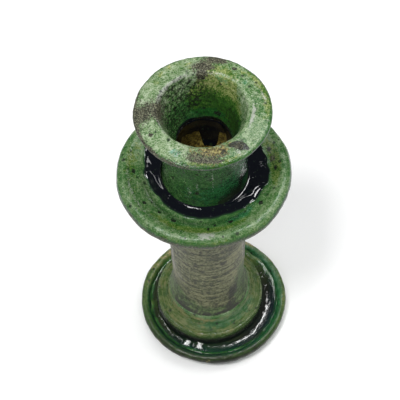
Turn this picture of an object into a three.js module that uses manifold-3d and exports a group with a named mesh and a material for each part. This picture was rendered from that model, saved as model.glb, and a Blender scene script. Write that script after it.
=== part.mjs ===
// A hand-thrown earthenware candlestick: a saucer foot, a bell and a hollow column, a drip pan
// and a candle cup with a wide flat rim. The sections are thrown separately, luted together
// with slip while leather-hard, and glazed green; the glaze melts into dark glassy pools.
// Millimetres, +Z up. The origin is on the resting plane, on the axis of the column.
import * as THREE from "three";
import { mergeVertices } from "three/addons/utils/BufferGeometryUtils.js";
import Module from "manifold-3d";

const wasm = await Module();
wasm.setup();

// ---- Driving dimensions ----
const FACETS = 48; // flats round every thrown piece
const ARC_STEPS = 3; // points for each quarter or so of an outline's curve
const SLIP = 1; // thickness of the slip between two sections
const GAP = 0.3; // clearance of a glaze body from the clay that holds it
const DEGREE = Math.PI / 180;

const SAUCER = {
  offset: 2.4, // the column stands this far off the saucer's centre, towards -X
  restRadius: 36,
  spring: [41, 0.4], // where the underside bends up from the table
  side: [45.2, 5.6], // where the underside meets the lip
  radius: 46.8,
  lip: 2.9, // radius of the rounded lip
  lipHeight: 7.9, // centre of the rounded lip
  lipAngles: [-50, 150], // how far the lip is rounded, from outside to inside
  floor: 5,
  channel: 38.6, // where the floor turns up into the lip
  channelRound: 1,
  vent: 11, // lets air out of the hollow column in the kiln
};
const BELL = {
  foot: 34.4,
  wall: 8, // thickness at the foot
  ridge: 33.2,
  ridgeHeight: 19.8,
  ridgeRound: 1,
  cove: [26.7, 21.4], // the hollow curve between the ridge and the column
  top: 28,
  topRadius: 24.3,
  hollowRise: 8, // height of the bend inside the bell
  hollowFlare: 2,
};
const COLUMN = {
  footRadius: 24,
  footRise: 4, // height of the bend above the bell
  waist: 21.8,
  waistHeight: 42,
  topRadius: 23.2,
  top: 142,
  bore: 15,
};
const PAN = {
  footRadius: 23.8,
  belly: [38.3, 144.5], // the swell of the underside
  underLip: [45.3, 148.9], // where the underside meets the lip
  radius: 49,
  lip: 4.7,
  lipHeight: 153.5,
  lipAngles: [-70, 140],
  slope: [35.6, 154.9], // where the lip runs down into the trough
  troughEdge: 35,
  troughRound: 4,
  troughCorner: 34,
  trough: 26,
  troughFloor: 151.4,
  seat: 152,
};
const CUP = {
  base: 24.4,
  baseRound: [1.5, 6], // heights of the bend at the base, and of its end
  neck: 23.3,
  shoulderHeight: 188, // where the neck starts to flare
  flare: [23.9, 204],
  rim: 36.6,
  rimHeight: 210.1,
  rimEdge: 1.7, // radius of the rounded rim
  rimAngles: [-80, 90],
  mouth: 24.5,
  mouthHeight: 213,
  mouthCrest: [26, 212.9],
  mouthFall: [23.5, 211.2],
  funnel: [17.9, 197.7],
  throat: 14.7,
  throatHeight: 184.7,
  throatRound: 3.5,
  hollow: 16,
  hollowDrop: 8, // depth of the hollow's top below the throat
  floor: 4,
  seatRadius: 11.5,
  seatRound: [0.4, 7], // heights of the bend round the floor, and of its start
};
const POOL = {
  saucerLevel: 7.6,
  saucerEdge: 39.6,
  underBell: 4, // the pool is cut from a ring that starts this far inside the ridge
  panLevel: 154.5,
  panCorner: 33.6,
};
const LINING = { drop: 8.5, height: 9, thickness: 1 };
const SLIP_INSET = 0.8; // the slip stops short of the sections' edges
const SCORED_RADIUS = 6; // the slip under the cup starts here

// ---- Finishes ----
const finish = (color, roughness) => new THREE.MeshStandardMaterial({ color, roughness, metalness: 0 });
const greenGlaze = finish(0x6f9a63, 0.35);
const mattGlaze = finish(0x7d7f6c, 0.7);
const darkGlaze = finish(0x14161c, 0.1);
const slipClay = finish(0xa98a5e, 0.9);

// ---- Shape tools ----
// Turns a closed outline, drawn as radius and height, about the vertical axis. An outline runs
// up its outer side and down its inner side, so that the faces point out.
function revolve(outline) {
  return new THREE.LatheGeometry(outline.getPoints(ARC_STEPS), FACETS).rotateX(Math.PI / 2);
}

// Rounds a lip: an arc about its centre, from the first angle to the last, in degrees.
function addLip(outline, radius, height, size, [start, end]) {
  outline.absarc(radius, height, size, start * DEGREE, end * DEGREE, false);
}

// A plain ring with a rectangular section.
function ring(innerRadius, outerRadius, bottom, top) {
  const outline = new THREE.Path();
  outline.moveTo(innerRadius, bottom);
  outline.lineTo(outerRadius, bottom);
  outline.lineTo(outerRadius, top);
  outline.lineTo(innerRadius, top);
  outline.closePath();
  return revolve(outline);
}

function solidOf(geometry) {
  const bare = geometry.clone();
  bare.deleteAttribute("normal");
  bare.deleteAttribute("uv");
  const merged = mergeVertices(bare, 1e-4);
  return new wasm.Manifold(
    new wasm.Mesh({
      numProp: 3,
      vertProperties: merged.attributes.position.array,
      triVerts: new Uint32Array(merged.index.array),
    }),
  );
}

function geometryOf(solid) {
  const mesh = solid.getMesh();
  const geometry = new THREE.BufferGeometry();
  geometry.setAttribute("position", new THREE.BufferAttribute(mesh.vertProperties, mesh.numProp));
  geometry.setIndex(new THREE.BufferAttribute(mesh.triVerts, 1));
  geometry.computeVertexNormals();
  return geometry;
}

function addPiece(parent, name, geometry, material) {
  const mesh = new THREE.Mesh(geometry, material);
  mesh.name = name;
  parent.add(mesh);
  return mesh;
}

// ---- The thrown sections ----
// The saucer: a flat foot ring, a rounded lip that turns up, and a channel inside the lip.
function footSaucer() {
  const lipCentre = SAUCER.radius - SAUCER.lip;
  const outline = new THREE.Path();
  outline.moveTo(SAUCER.vent, 0);
  outline.lineTo(SAUCER.restRadius, 0);
  outline.quadraticCurveTo(...SAUCER.spring, ...SAUCER.side);
  addLip(outline, lipCentre, SAUCER.lipHeight, SAUCER.lip, SAUCER.lipAngles);
  outline.quadraticCurveTo(
    SAUCER.channel + SAUCER.channelRound,
    SAUCER.floor + SAUCER.channelRound,
    SAUCER.channel,
    SAUCER.floor,
  );
  outline.lineTo(SAUCER.vent, SAUCER.floor);
  outline.closePath();
  return revolve(outline);
}

// The bell: a skirt with a steep side, a rounded ridge and a cove up to the column.
function bellBase() {
  const bottom = SAUCER.floor + SLIP;
  const roundRadius = BELL.ridge - BELL.ridgeRound;
  const roundHeight = BELL.ridgeHeight - BELL.ridgeRound;
  const outline = new THREE.Path();
  outline.moveTo(BELL.foot - BELL.wall, bottom);
  outline.lineTo(BELL.foot, bottom);
  outline.lineTo(BELL.ridge, roundHeight);
  addLip(outline, roundRadius, roundHeight, BELL.ridgeRound, [0, 90]);
  outline.quadraticCurveTo(...BELL.cove, BELL.topRadius, BELL.top);
  outline.lineTo(COLUMN.bore, BELL.top);
  outline.quadraticCurveTo(
    COLUMN.bore + BELL.hollowFlare,
    bottom + BELL.hollowRise,
    BELL.foot - BELL.wall,
    bottom,
  );
  return revolve(outline);
}

// The column: a hollow thrown tube with a slight waist above the bell.
function stemColumn() {
  const bottom = BELL.top + SLIP;
  const outline = new THREE.Path();
  outline.moveTo(COLUMN.bore, bottom);
  outline.lineTo(COLUMN.footRadius, bottom);
  outline.quadraticCurveTo(COLUMN.waist, bottom + COLUMN.footRise, COLUMN.waist, COLUMN.waistHeight);
  outline.lineTo(COLUMN.topRadius, COLUMN.top);
  outline.lineTo(COLUMN.bore, COLUMN.top);
  outline.closePath();
  return revolve(outline);
}

// The drip pan: a shallow dish with a thick lip, and a trough round the seat of the cup.
function dripPan() {
  const bottom = COLUMN.top + SLIP;
  const outline = new THREE.Path();
  outline.moveTo(0, bottom);
  outline.lineTo(PAN.footRadius, bottom);
  outline.quadraticCurveTo(...PAN.belly, ...PAN.underLip);
  addLip(outline, PAN.radius - PAN.lip, PAN.lipHeight, PAN.lip, PAN.lipAngles);
  outline.lineTo(...PAN.slope);
  outline.quadraticCurveTo(
    PAN.troughCorner,
    PAN.troughFloor,
    PAN.troughEdge - PAN.troughRound,
    PAN.troughFloor,
  );
  outline.lineTo(PAN.trough, PAN.troughFloor);
  outline.lineTo(CUP.base, PAN.seat);
  outline.lineTo(0, PAN.seat);
  return revolve(outline);
}

// The candle cup: a necked cup with its own floor, a sharp throat, a funnel and a wide flat rim.
function candleCup() {
  const bottom = PAN.seat + SLIP;
  const seat = bottom + CUP.floor;
  const rimCentre = CUP.rim - CUP.rimEdge;
  const outline = new THREE.Path();
  outline.moveTo(0, bottom);
  outline.lineTo(CUP.base, bottom);
  outline.quadraticCurveTo(CUP.neck, bottom + CUP.baseRound[0], CUP.neck, bottom + CUP.baseRound[1]);
  outline.lineTo(CUP.neck, CUP.shoulderHeight);
  outline.quadraticCurveTo(...CUP.flare, rimCentre - CUP.rimEdge / 2, CUP.rimHeight - CUP.rimEdge);
  addLip(outline, rimCentre, CUP.rimHeight, CUP.rimEdge, CUP.rimAngles);
  outline.lineTo(...CUP.mouthCrest);
  outline.quadraticCurveTo(CUP.mouth, CUP.mouthHeight, ...CUP.mouthFall);
  outline.quadraticCurveTo(...CUP.funnel, CUP.throat, CUP.throatHeight);
  outline.quadraticCurveTo(
    CUP.throat,
    CUP.throatHeight - CUP.throatRound,
    CUP.hollow,
    CUP.throatHeight - CUP.hollowDrop,
  );
  outline.lineTo(CUP.hollow, seat + CUP.seatRound[1]);
  outline.quadraticCurveTo(CUP.hollow, seat + CUP.seatRound[0], CUP.seatRadius, seat);
  outline.lineTo(0, seat);
  return revolve(outline);
}

// ---- The glaze that has pooled ----
// Fills the channel between the saucer's lip and the bell, which stand on different centres.
function saucerGlazePool() {
  const outline = new THREE.Path();
  outline.moveTo(BELL.ridge - POOL.underBell, SAUCER.floor);
  outline.lineTo(SAUCER.channel - GAP, SAUCER.floor);
  outline.lineTo(POOL.saucerEdge, POOL.saucerLevel);
  outline.lineTo(BELL.ridge - POOL.underBell, POOL.saucerLevel);
  outline.closePath();
  const body = revolve(outline).translate(SAUCER.offset, 0, 0);
  const bell = ring(COLUMN.bore, BELL.foot + GAP, 0, BELL.ridgeHeight);
  return geometryOf(solidOf(body).subtract(solidOf(bell)));
}

// Fills the trough between the pan's slope and the foot of the cup.
function panGlazePool() {
  const floor = PAN.troughFloor;
  const outline = new THREE.Path();
  outline.moveTo(PAN.trough + GAP, floor);
  outline.lineTo(PAN.troughEdge - PAN.troughRound - GAP, floor);
  outline.quadraticCurveTo(POOL.panCorner, floor + GAP, PAN.troughEdge, POOL.panLevel - GAP);
  outline.lineTo(PAN.troughEdge, POOL.panLevel);
  outline.lineTo(CUP.base + GAP, POOL.panLevel);
  outline.lineTo(CUP.base + GAP, PAN.seat + GAP);
  outline.closePath();
  return revolve(outline);
}

// A thick coat of dark glaze on the cup's wall, just under the throat.
function cupGlazeLining() {
  const top = CUP.throatHeight - LINING.drop;
  return ring(CUP.hollow - LINING.thickness, CUP.hollow - GAP, top - LINING.height, top);
}

// ---- The candlestick ----
const candlestick = new THREE.Group();
candlestick.name = "candlestick";

const foot = new THREE.Group();
foot.position.x = SAUCER.offset;
candlestick.add(foot);
addPiece(foot, "foot_saucer", footSaucer(), greenGlaze);

addPiece(candlestick, "saucer_glaze_pool", saucerGlazePool(), darkGlaze);
addPiece(
  candlestick,
  "bell_slip_joint",
  ring(
    BELL.foot - BELL.wall + SLIP_INSET,
    BELL.foot - SLIP_INSET,
    SAUCER.floor,
    SAUCER.floor + SLIP,
  ),
  slipClay,
);
addPiece(candlestick, "bell_base", bellBase(), greenGlaze);
addPiece(
  candlestick,
  "column_slip_joint",
  ring(COLUMN.bore + SLIP_INSET, BELL.topRadius - SLIP_INSET, BELL.top, BELL.top + SLIP),
  slipClay,
);
addPiece(candlestick, "stem_column", stemColumn(), mattGlaze);
addPiece(
  candlestick,
  "pan_slip_joint",
  ring(COLUMN.bore + SLIP_INSET, COLUMN.topRadius - SLIP_INSET, COLUMN.top, COLUMN.top + SLIP),
  slipClay,
);
addPiece(candlestick, "drip_pan", dripPan(), greenGlaze);
addPiece(candlestick, "pan_glaze_pool", panGlazePool(), darkGlaze);
addPiece(
  candlestick,
  "cup_slip_joint",
  ring(SCORED_RADIUS, CUP.neck - SLIP_INSET, PAN.seat, PAN.seat + SLIP),
  slipClay,
);
addPiece(candlestick, "candle_cup", candleCup(), greenGlaze);
addPiece(candlestick, "cup_glaze_lining", cupGlazeLining(), darkGlaze);

export default candlestick;
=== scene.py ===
# %% [markdown]
# # A hand-thrown candlestick in green glaze
# The real object is one fired pot. A potter throws a saucer foot, a bell, a hollow column, a
# drip pan and a candle cup, lutes them together with wet slip, and dips or brushes the whole
# in a copper glaze. In the kiln the glaze runs: it is thin and pale on rims, green on slopes,
# and black where it pools.
#
# Everything here is a surface of revolution that is not quite one. Each piece starts as an
# outline of radius and height, is carried once round the axis as a numpy grid, and is then
# pushed in and out by slow waves, as fingers push wet clay.

import math

import bpy
import numpy as np
from mathutils import Matrix, Vector


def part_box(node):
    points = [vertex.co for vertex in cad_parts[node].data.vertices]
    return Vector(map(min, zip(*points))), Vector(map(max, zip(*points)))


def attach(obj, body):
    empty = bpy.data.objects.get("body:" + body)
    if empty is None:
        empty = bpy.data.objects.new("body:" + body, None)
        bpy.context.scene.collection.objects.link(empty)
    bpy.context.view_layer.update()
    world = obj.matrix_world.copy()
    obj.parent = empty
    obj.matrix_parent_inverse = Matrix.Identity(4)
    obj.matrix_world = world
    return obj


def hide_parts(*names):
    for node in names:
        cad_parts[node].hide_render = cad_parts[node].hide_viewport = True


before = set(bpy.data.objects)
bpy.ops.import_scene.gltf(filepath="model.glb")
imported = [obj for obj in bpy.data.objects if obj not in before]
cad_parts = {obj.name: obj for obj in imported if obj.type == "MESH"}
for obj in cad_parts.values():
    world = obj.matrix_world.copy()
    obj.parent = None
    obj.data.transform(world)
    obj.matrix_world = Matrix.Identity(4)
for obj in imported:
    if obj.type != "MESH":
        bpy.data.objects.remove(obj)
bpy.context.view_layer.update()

# %% [markdown]
# ## Measures
# The frame gives where each piece sits and how large it is. Shapes are worked out in
# millimetres, as a potter would measure them, and turned into metres when a mesh is made.

# %% Read the sizes of the sections
MM = 0.001


def measure(node):
    """The bottom, top, radius and middle of a turned piece, in millimetres."""
    low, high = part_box(node)
    return {
        "bottom": low.z / MM,
        "top": high.z / MM,
        "radius": (high.x - low.x) / 2 / MM,
        "middle": (high.x + low.x) / 2 / MM,
    }


sizes = {name: measure(name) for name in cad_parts}
for name, size in sorted(sizes.items()):
    print(name, {key: round(value, 1) for key, value in size.items()})

# %% [markdown]
# ## Camera, floor and light
# The pot is seen from above, about as a person sees it who stands at the table. The lens is
# long, so that the rim and the foot keep nearly their true proportions.

# %% Set the camera
CAMERA_PLACE = (0.00245, -0.41614, 0.77465)
CAMERA_TURN = -0.774  # degrees to the left of straight ahead
CAMERA_DIP = 57.344  # degrees below level
CAMERA_ROLL = -2.81
CAMERA_LENS = 120.86


def camera_axes(turn, dip, roll):
    """The camera's right, up and backward directions, from three angles in degrees."""
    turn, dip, roll = (math.radians(angle) for angle in (turn, dip, roll))
    ahead = Vector(
        (math.sin(turn) * math.cos(dip), math.cos(turn) * math.cos(dip), -math.sin(dip))
    )
    level = Vector((math.cos(turn), -math.sin(turn), 0))
    above = level.cross(ahead)
    right = level * math.cos(roll) + above * math.sin(roll)
    up = above * math.cos(roll) - level * math.sin(roll)
    return right, up, -ahead


camera = bpy.data.objects.new("camera", bpy.data.cameras.new("camera"))
bpy.context.scene.collection.objects.link(camera)
right, up, back = camera_axes(CAMERA_TURN, CAMERA_DIP, CAMERA_ROLL)
camera.matrix_world = Matrix.Translation(CAMERA_PLACE) @ Matrix(
    ((right.x, up.x, back.x), (right.y, up.y, back.y), (right.z, up.z, back.z))
).to_4x4()
camera.data.lens = CAMERA_LENS
camera.data.sensor_width = 36
bpy.context.scene.camera = camera
bpy.context.scene.view_settings.view_transform = "Standard"
print("camera at", CAMERA_PLACE)

# %% [markdown]
# The floor is one large pale plane. A big soft panel lights the pot from above and in front,
# and others fill from the sides. They only shade: a mirror image of such a broad panel would
# lie on the black glass as a grey veil. Glass needs something small and bright to mirror: a
# lamp overhead, a strip on the right and a window behind on the left only shine. A wet line
# appears where the surface leans half-way between light and eye.

# %% Lay the floor and hang the lights
FLOOR_REACH = 3.0  # metres from the middle to each side
floor_mesh = bpy.data.meshes.new("floor")
floor_mesh.from_pydata(
    [(x * FLOOR_REACH, y * FLOOR_REACH, 0) for x, y in ((-1, -1), (1, -1), (1, 1), (-1, 1))],
    [],
    [(0, 1, 2, 3)],
)
floor = bpy.data.objects.new("floor", floor_mesh)
bpy.context.scene.collection.objects.link(floor)
floor_finish = bpy.data.materials.new("pale floor")
floor_finish.use_nodes = True
floor_paint = floor_finish.node_tree.nodes["Principled BSDF"].inputs
floor_paint["Base Color"].default_value = (0.97, 0.97, 0.97, 1)
floor_paint["Roughness"].default_value = 0.9
floor_paint["Specular IOR Level"].default_value = 0.1
floor_mesh.materials.append(floor_finish)


def panel(name, place, along, width, height, power, shades=True, target=(0, 0, 0.08)):
    """A rectangular light of that power in watts, facing target, as wide as width along the
    given direction and as high as height across it. It either shades or is mirrored."""
    light = bpy.data.objects.new(name, bpy.data.lights.new(name, "AREA"))
    light.data.shape = "RECTANGLE"
    light.data.size, light.data.size_y = width, height
    light.data.energy = power
    back = (Vector(place) - Vector(target)).normalized()
    side = (Vector(along) - Vector(along).dot(back) * back).normalized()
    turned = Matrix((side, back.cross(side), back)).transposed().to_4x4()
    light.matrix_world = Matrix.Translation(place) @ turned
    light.visible_diffuse, light.visible_glossy = shades, not shades
    bpy.context.scene.collection.objects.link(light)


panel("key", (-0.60, -0.70, 2.20), (1, 0, 0), 0.5, 0.5, 27)
panel("front fill", (0.10, -1.20, 2.00), (1, 0, 0), 2.2, 1.6, 15)
panel("fill right", (1.40, 0.10, 1.50), (0, 1, 0), 1.2, 1.0, 11)
panel("fill left", (-1.50, -0.10, 1.60), (0, 1, 0), 1.0, 1.0, 4)
panel("overhead", (0.30, 0.80, 2.30), (1, 0, 0), 1.8, 1.4, 26)
panel("lamp", (-0.36, -0.36, 1.26), (1, -0.9, 0), 0.44, 0.30, 10.0, shades=False)
panel("strip", (0.38, 0.24, 1.10), (0.35, 0.48, -0.23), 0.60, 0.13, 7.0, shades=False)
panel("window", (-0.59, 0.36, 0.98), (0.05, -0.21, 0.10), 0.32, 0.26, 2.2, shades=False)

world = bpy.data.worlds.new("room")
bpy.context.scene.world = world
world.use_nodes = True
tree = world.node_tree
room = tree.nodes["Background"]
room.inputs["Color"].default_value = (0.93, 0.97, 1.0, 1)
room.inputs["Strength"].default_value = 0.10
backdrop = tree.nodes.new("ShaderNodeBackground")
backdrop.inputs["Color"].default_value = (0.97, 0.97, 0.97, 1)
seen = tree.nodes.new("ShaderNodeLightPath")
choose = tree.nodes.new("ShaderNodeMixShader")
tree.links.new(seen.outputs["Is Camera Ray"], choose.inputs[0])
tree.links.new(room.outputs[0], choose.inputs[1])
tree.links.new(backdrop.outputs[0], choose.inputs[2])
tree.links.new(choose.outputs[0], tree.nodes["World Output"].inputs[0])

# %% [markdown]
# ## How a thrown shape is drawn
# A potter's outline has no sharp corners: fingers and melted glaze round all of them. So an
# outline is given by a few corner points, walked at even steps, and softened by a weighted
# mean of each step's neighbours. One number, the softness, says how round the corners are.

# %% Outline helpers
WALK = 0.1  # millimetres between the steps of an outline before it is thinned


def arc(centre, radius, start, end, steps=7):
    """Points on a circle about centre, from the start to the end angle in degrees."""
    angle = np.radians(np.linspace(start, end, steps))
    across = centre[0] + radius * np.cos(angle)
    up = centre[1] + radius * np.sin(angle)
    return [tuple(point) for point in np.stack([across, up], 1)]


def walk(points, step):
    """The points' polyline, sampled at even steps of its length."""
    points = np.asarray(points, float)
    reach = np.concatenate([[0], np.cumsum(np.linalg.norm(np.diff(points, axis=0), axis=1))])
    marks = np.linspace(0, reach[-1], max(2, int(round(reach[-1] / step)) + 1))
    return np.stack([np.interp(marks, reach, points[:, k]) for k in (0, 1)], 1)


def outline(points, softness, spacing, ring=False):
    """A softened outline of radius and height, in millimetres.

    Each step becomes the mean of its neighbours, weighted by a bell curve of width softness.
    An open outline starts and ends on the axis and is mirrored there, so that it crosses the
    axis level. A ring outline closes on itself."""
    points = list(points) + [points[0]] if ring else list(points)
    fine = walk(points, WALK)
    count = int(math.ceil(4 * softness / WALK))
    bell = np.exp(-0.5 * (np.arange(-count, count + 1) * WALK / softness) ** 2)
    bell /= bell.sum()
    if ring:
        padded = np.concatenate([fine[-count - 1 : -1], fine, fine[1 : count + 1]])
    else:
        flip = np.array([-1, 1])
        padded = np.concatenate([fine[count:0:-1] * flip, fine, fine[-2 : -count - 2 : -1] * flip])
    soft = np.stack([np.convolve(padded[:, k], bell, "valid") for k in (0, 1)], 1)
    if ring:
        soft[-1] = soft[0]
    else:
        soft[[0, -1], 0] = 0
    thin = walk(soft, spacing)
    return thin[:-1] if ring else thin


square = outline([(0, 0), (10, 0), (10, 10), (0, 10)], softness=0.7, spacing=0.5)
print("a softened 10 mm square has", len(square), "points and reaches", square[:, 0].max().round(2))


# %% [markdown]
# ## How a piece is turned
# The outline is carried round the axis. Bearing 0 is the front of the pot and grows towards
# its right. The grid is kept as arrays of bearing, radius and height, with the outline's
# outward direction, so that waves can push the surface straight out or in.

# %% Turn an outline into a grid
def turn(profile, count, ring=False):
    """A dictionary of arrays: rows follow the outline, columns go round the axis.

    The outward direction is the outline's own direction turned a quarter to the right."""
    bearing = np.arange(count) * (2 * math.pi / count)
    if ring:
        ahead = np.roll(profile, -1, 0) - np.roll(profile, 1, 0)
    else:
        ahead = np.gradient(profile, axis=0)
    ahead /= np.linalg.norm(ahead, axis=1, keepdims=True)
    step = np.linalg.norm(np.diff(profile, axis=0), axis=1)
    shape = (len(profile), count)
    return {
        "bearing": np.broadcast_to(bearing, shape).copy(),
        "radius": np.broadcast_to(profile[:, :1], shape).copy(),
        "height": np.broadcast_to(profile[:, 1:], shape).copy(),
        "out_radius": np.broadcast_to(ahead[:, 1:], shape),
        "out_height": np.broadcast_to(-ahead[:, :1], shape),
        "along": np.broadcast_to(np.concatenate([[0], np.cumsum(step)])[:, None], shape),
        "ring": ring,
    }


def push(grid, amount):
    """Moves the surface outwards by amount, in millimetres, along the outline's normal."""
    near_axis = np.clip(grid["radius"] / 6, 0, 1)
    grid["radius"] = grid["radius"] + grid["out_radius"] * amount * near_axis
    grid["height"] = grid["height"] + grid["out_height"] * amount * near_axis


def waves(grid, seed, size, round_pitch, along_pitch, count=26):
    """A sum of seeded waves of mean height size. Each goes a whole number of times round the
    axis, at most once in round_pitch degrees, and along the outline at most once in
    along_pitch millimetres."""
    random = np.random.default_rng(seed)
    times_round = random.integers(1, max(2, int(360 / round_pitch)) + 1, count)
    along_rate = random.uniform(-1, 1, count) * 2 * math.pi / along_pitch
    phase = random.uniform(0, 2 * math.pi, count)
    total = sum(
        np.sin(times_round[k] * grid["bearing"] + along_rate[k] * grid["along"] + phase[k])
        for k in range(count)
    )
    return total * size * math.sqrt(2 / count)


def rings(grid, seed, size, pitch):
    """Throwing rings: waves that run nearly level round the pot, about pitch apart, whose
    height swells and fades as the fingers press more or less."""
    random = np.random.default_rng(seed)
    total = 0
    for rate in random.uniform(0.6, 1.7, 6):
        swell = 1 + 0.5 * np.sin(grid["bearing"] * random.integers(1, 4) + random.uniform(0, 6.28))
        drift = 0.6 * np.sin(grid["bearing"] + random.uniform(0, 6.28))
        climb = grid["along"] * rate * 2 * math.pi / pitch
        total = total + swell * np.sin(climb + drift + random.uniform(0, 6.28))
    return total * size / math.sqrt(6)


def ease(value):
    """A smooth step: 0 below 0, 1 above 1, and an S-curve between."""
    value = np.clip(value, 0, 1)
    return value * value * (3 - 2 * value)


def between(value, low, high, edge):
    """1 between low and high, fading to 0 over edge on either side."""
    return ease((value - low) / edge + 1) * ease((high - value) / edge + 1)


tube = turn(outline([(0, 0), (20, 0), (20, 60), (0, 60)], softness=0.5, spacing=1.0), 90)
print("waves of mean height 0.1 mm reach", abs(waves(tube, 1, 0.1, 30, 20)).max().round(2), "mm")
print("throwing rings of 0.1 mm reach", abs(rings(tube, 2, 0.1, 3)).max().round(2), "mm")


# %% [markdown]
# ## How a grid becomes a mesh
# The grid's rows and columns become four-sided faces. The columns join up round the axis. An
# open outline gets one point at each pole and a fan of triangles; a ring outline joins its
# last row to its first. The paint layers (how thick the glaze is, where smoke marked it) are
# stored as attributes on the same points, so a material can read them.

# %% Make a mesh from a grid
def place(grid, shift=(0, 0), tilt=(0, 0), pivot=0):
    """Points of the grid in metres: radius and bearing give x and y, then the piece is
    shifted, and leans by tilt (a rise per unit of x and of y)."""
    x = grid["radius"] * np.sin(grid["bearing"])
    y = -grid["radius"] * np.cos(grid["bearing"])
    z = grid["height"] + tilt[0] * x + tilt[1] * y
    x = x - tilt[0] * (grid["height"] - pivot) + shift[0]
    y = y - tilt[1] * (grid["height"] - pivot) + shift[1]
    return np.stack([x, y, z], -1) * MM


def grid_faces(rows, columns, ring):
    """Faces of a grid that joins up round the axis. An open grid's first and last rows are
    single points."""
    i = np.arange(rows if ring else rows - 3)[:, None]
    j = np.arange(columns)[None, :]
    after = (j + 1) % columns
    if ring:
        above = (i + 1) % rows
        quads = np.stack(
            [i * columns + j, i * columns + after, above * columns + after, above * columns + j], -1
        )
        return quads.reshape(-1, 4).tolist()
    first = 1 + i * columns
    quads = np.stack([first + j, first + after, first + columns + after, first + columns + j], -1)
    last_row = 1 + (rows - 3) * columns
    top = last_row + columns
    column, beside = j[0], after[0]
    bottom_fan = np.stack([np.zeros_like(column), 1 + beside, 1 + column], -1)
    top_fan = np.stack([np.full_like(column, top), last_row + column, last_row + beside], -1)
    return quads.reshape(-1, 4).tolist() + bottom_fan.tolist() + top_fan.tolist()


def flat(grid, values):
    """The values in the order of the mesh's points: an open grid keeps one per pole."""
    if grid["ring"]:
        return values.reshape(-1, *values.shape[2:])
    body = values[1:-1].reshape(-1, *values.shape[2:])
    return np.concatenate([values[:1, 0], body, values[-1:, 0]])


LINE_PITCH = 3.0  # millimetres along the outline that count as much as one radian round it


def make_piece(name, grid, points, layers, node):
    """A finished piece: a smooth mesh with its paint layers, which stands for a CAD node."""
    mesh = bpy.data.meshes.new(name)
    rows, columns = grid["bearing"].shape
    mesh.from_pydata(flat(grid, points).tolist(), [], grid_faces(rows, columns, grid["ring"]))
    mesh.polygons.foreach_set("use_smooth", np.ones(len(mesh.polygons), bool))
    for layer, values in layers.items():
        attribute = mesh.attributes.new(layer, "FLOAT", "POINT")
        attribute.data.foreach_set("value", flat(grid, values).astype(np.float32))
    turning = [np.sin(grid["bearing"]), np.cos(grid["bearing"]), grid["along"] / LINE_PITCH]
    turning = np.stack(turning, -1)
    attribute = mesh.attributes.new("turning", "FLOAT_VECTOR", "POINT")
    attribute.data.foreach_set("vector", flat(grid, turning).astype(np.float32).ravel())
    piece = bpy.data.objects.new(name, mesh)
    bpy.context.scene.collection.objects.link(piece)
    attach(piece, "root")
    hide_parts(node)
    triangles = sum(len(p.vertices) - 2 for p in mesh.polygons)
    print(f"{name}: {len(mesh.vertices)} points, {triangles} triangles")
    return piece


print("a 5 by 8 grid makes", len(grid_faces(5, 8, ring=False)), "faces, closed at both poles")


# %% [markdown]
# ## Paint layers
# The glaze differs from place to place, and a material can't know where the flame licked the
# rim. So each piece carries a few layers from 0 to 1, painted with soft blots: how thick the
# glaze lies, where smoke stained it, where it drew back from the clay, where it turned olive
# or blue-green, where it crazed into a black web, frosted over, gathered in dark spots or
# trapped bubbles. The smoke layer also holds painted shade on edges that turn away from the
# light, and the frost layer holds painted highlights where glints and edge sheen fall. The
# materials give each blot its ragged edge.

# %% Blots
LAYERS = ("thick", "smoke", "clay", "olive", "teal", "web", "frost", "dark", "bubbles")


def blot(grid, bearing, radius, height, round_size, out_size, up_size, strength=1.0):
    """A soft blot on the grid's surface: a bell curve of the distance from its middle, measured
    round the pot, outwards and upwards in the blot's own sizes, in millimetres."""
    turn_away = (grid["bearing"] - math.radians(bearing) + math.pi) % (2 * math.pi) - math.pi
    away = (
        (turn_away * grid["radius"] / round_size) ** 2
        + ((grid["radius"] - radius) / out_size) ** 2
        + ((grid["height"] - height) / up_size) ** 2
    )
    return strength * np.exp(-0.5 * away)


def paint(grid, depth, **blots):
    """All the layers of a piece: the glaze's depth from 0 to 1, and the sum of each layer's
    blots."""
    layers = {layer: np.zeros_like(grid["radius"]) for layer in LAYERS}
    layers["thick"] = depth + layers["thick"]
    for layer, marks in blots.items():
        for mark in marks:
            layers[layer] = layers[layer] + blot(grid, *mark)
    return {layer: np.clip(values, 0, 1) for layer, values in layers.items()}


print("paint layers:", ", ".join(LAYERS))


# %% [markdown]
# ## The candle cup
# The cup is a necked pot with a sharp throat: the candle's foot goes through the throat, and
# the funnel above it catches the wax. Its rim is a wide flat flange.

# %% Turn the candle cup
cup = sizes["candle_cup"]
SEAT, CREST, RIM = cup["bottom"], cup["top"], cup["radius"]
NECK = 23.2  # radius of the neck, and so on in millimetres
MOUTH = 24.6
THROAT = 14.6
THROAT_DEPTH = 28.3
HOLLOW = 16.0
SOCKET_FLOOR = 4.0
RIM_EDGE = 1.7  # radius of the rim's rounded edge
FLANGE = CREST - 0.6  # height of the rim's flat

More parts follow.
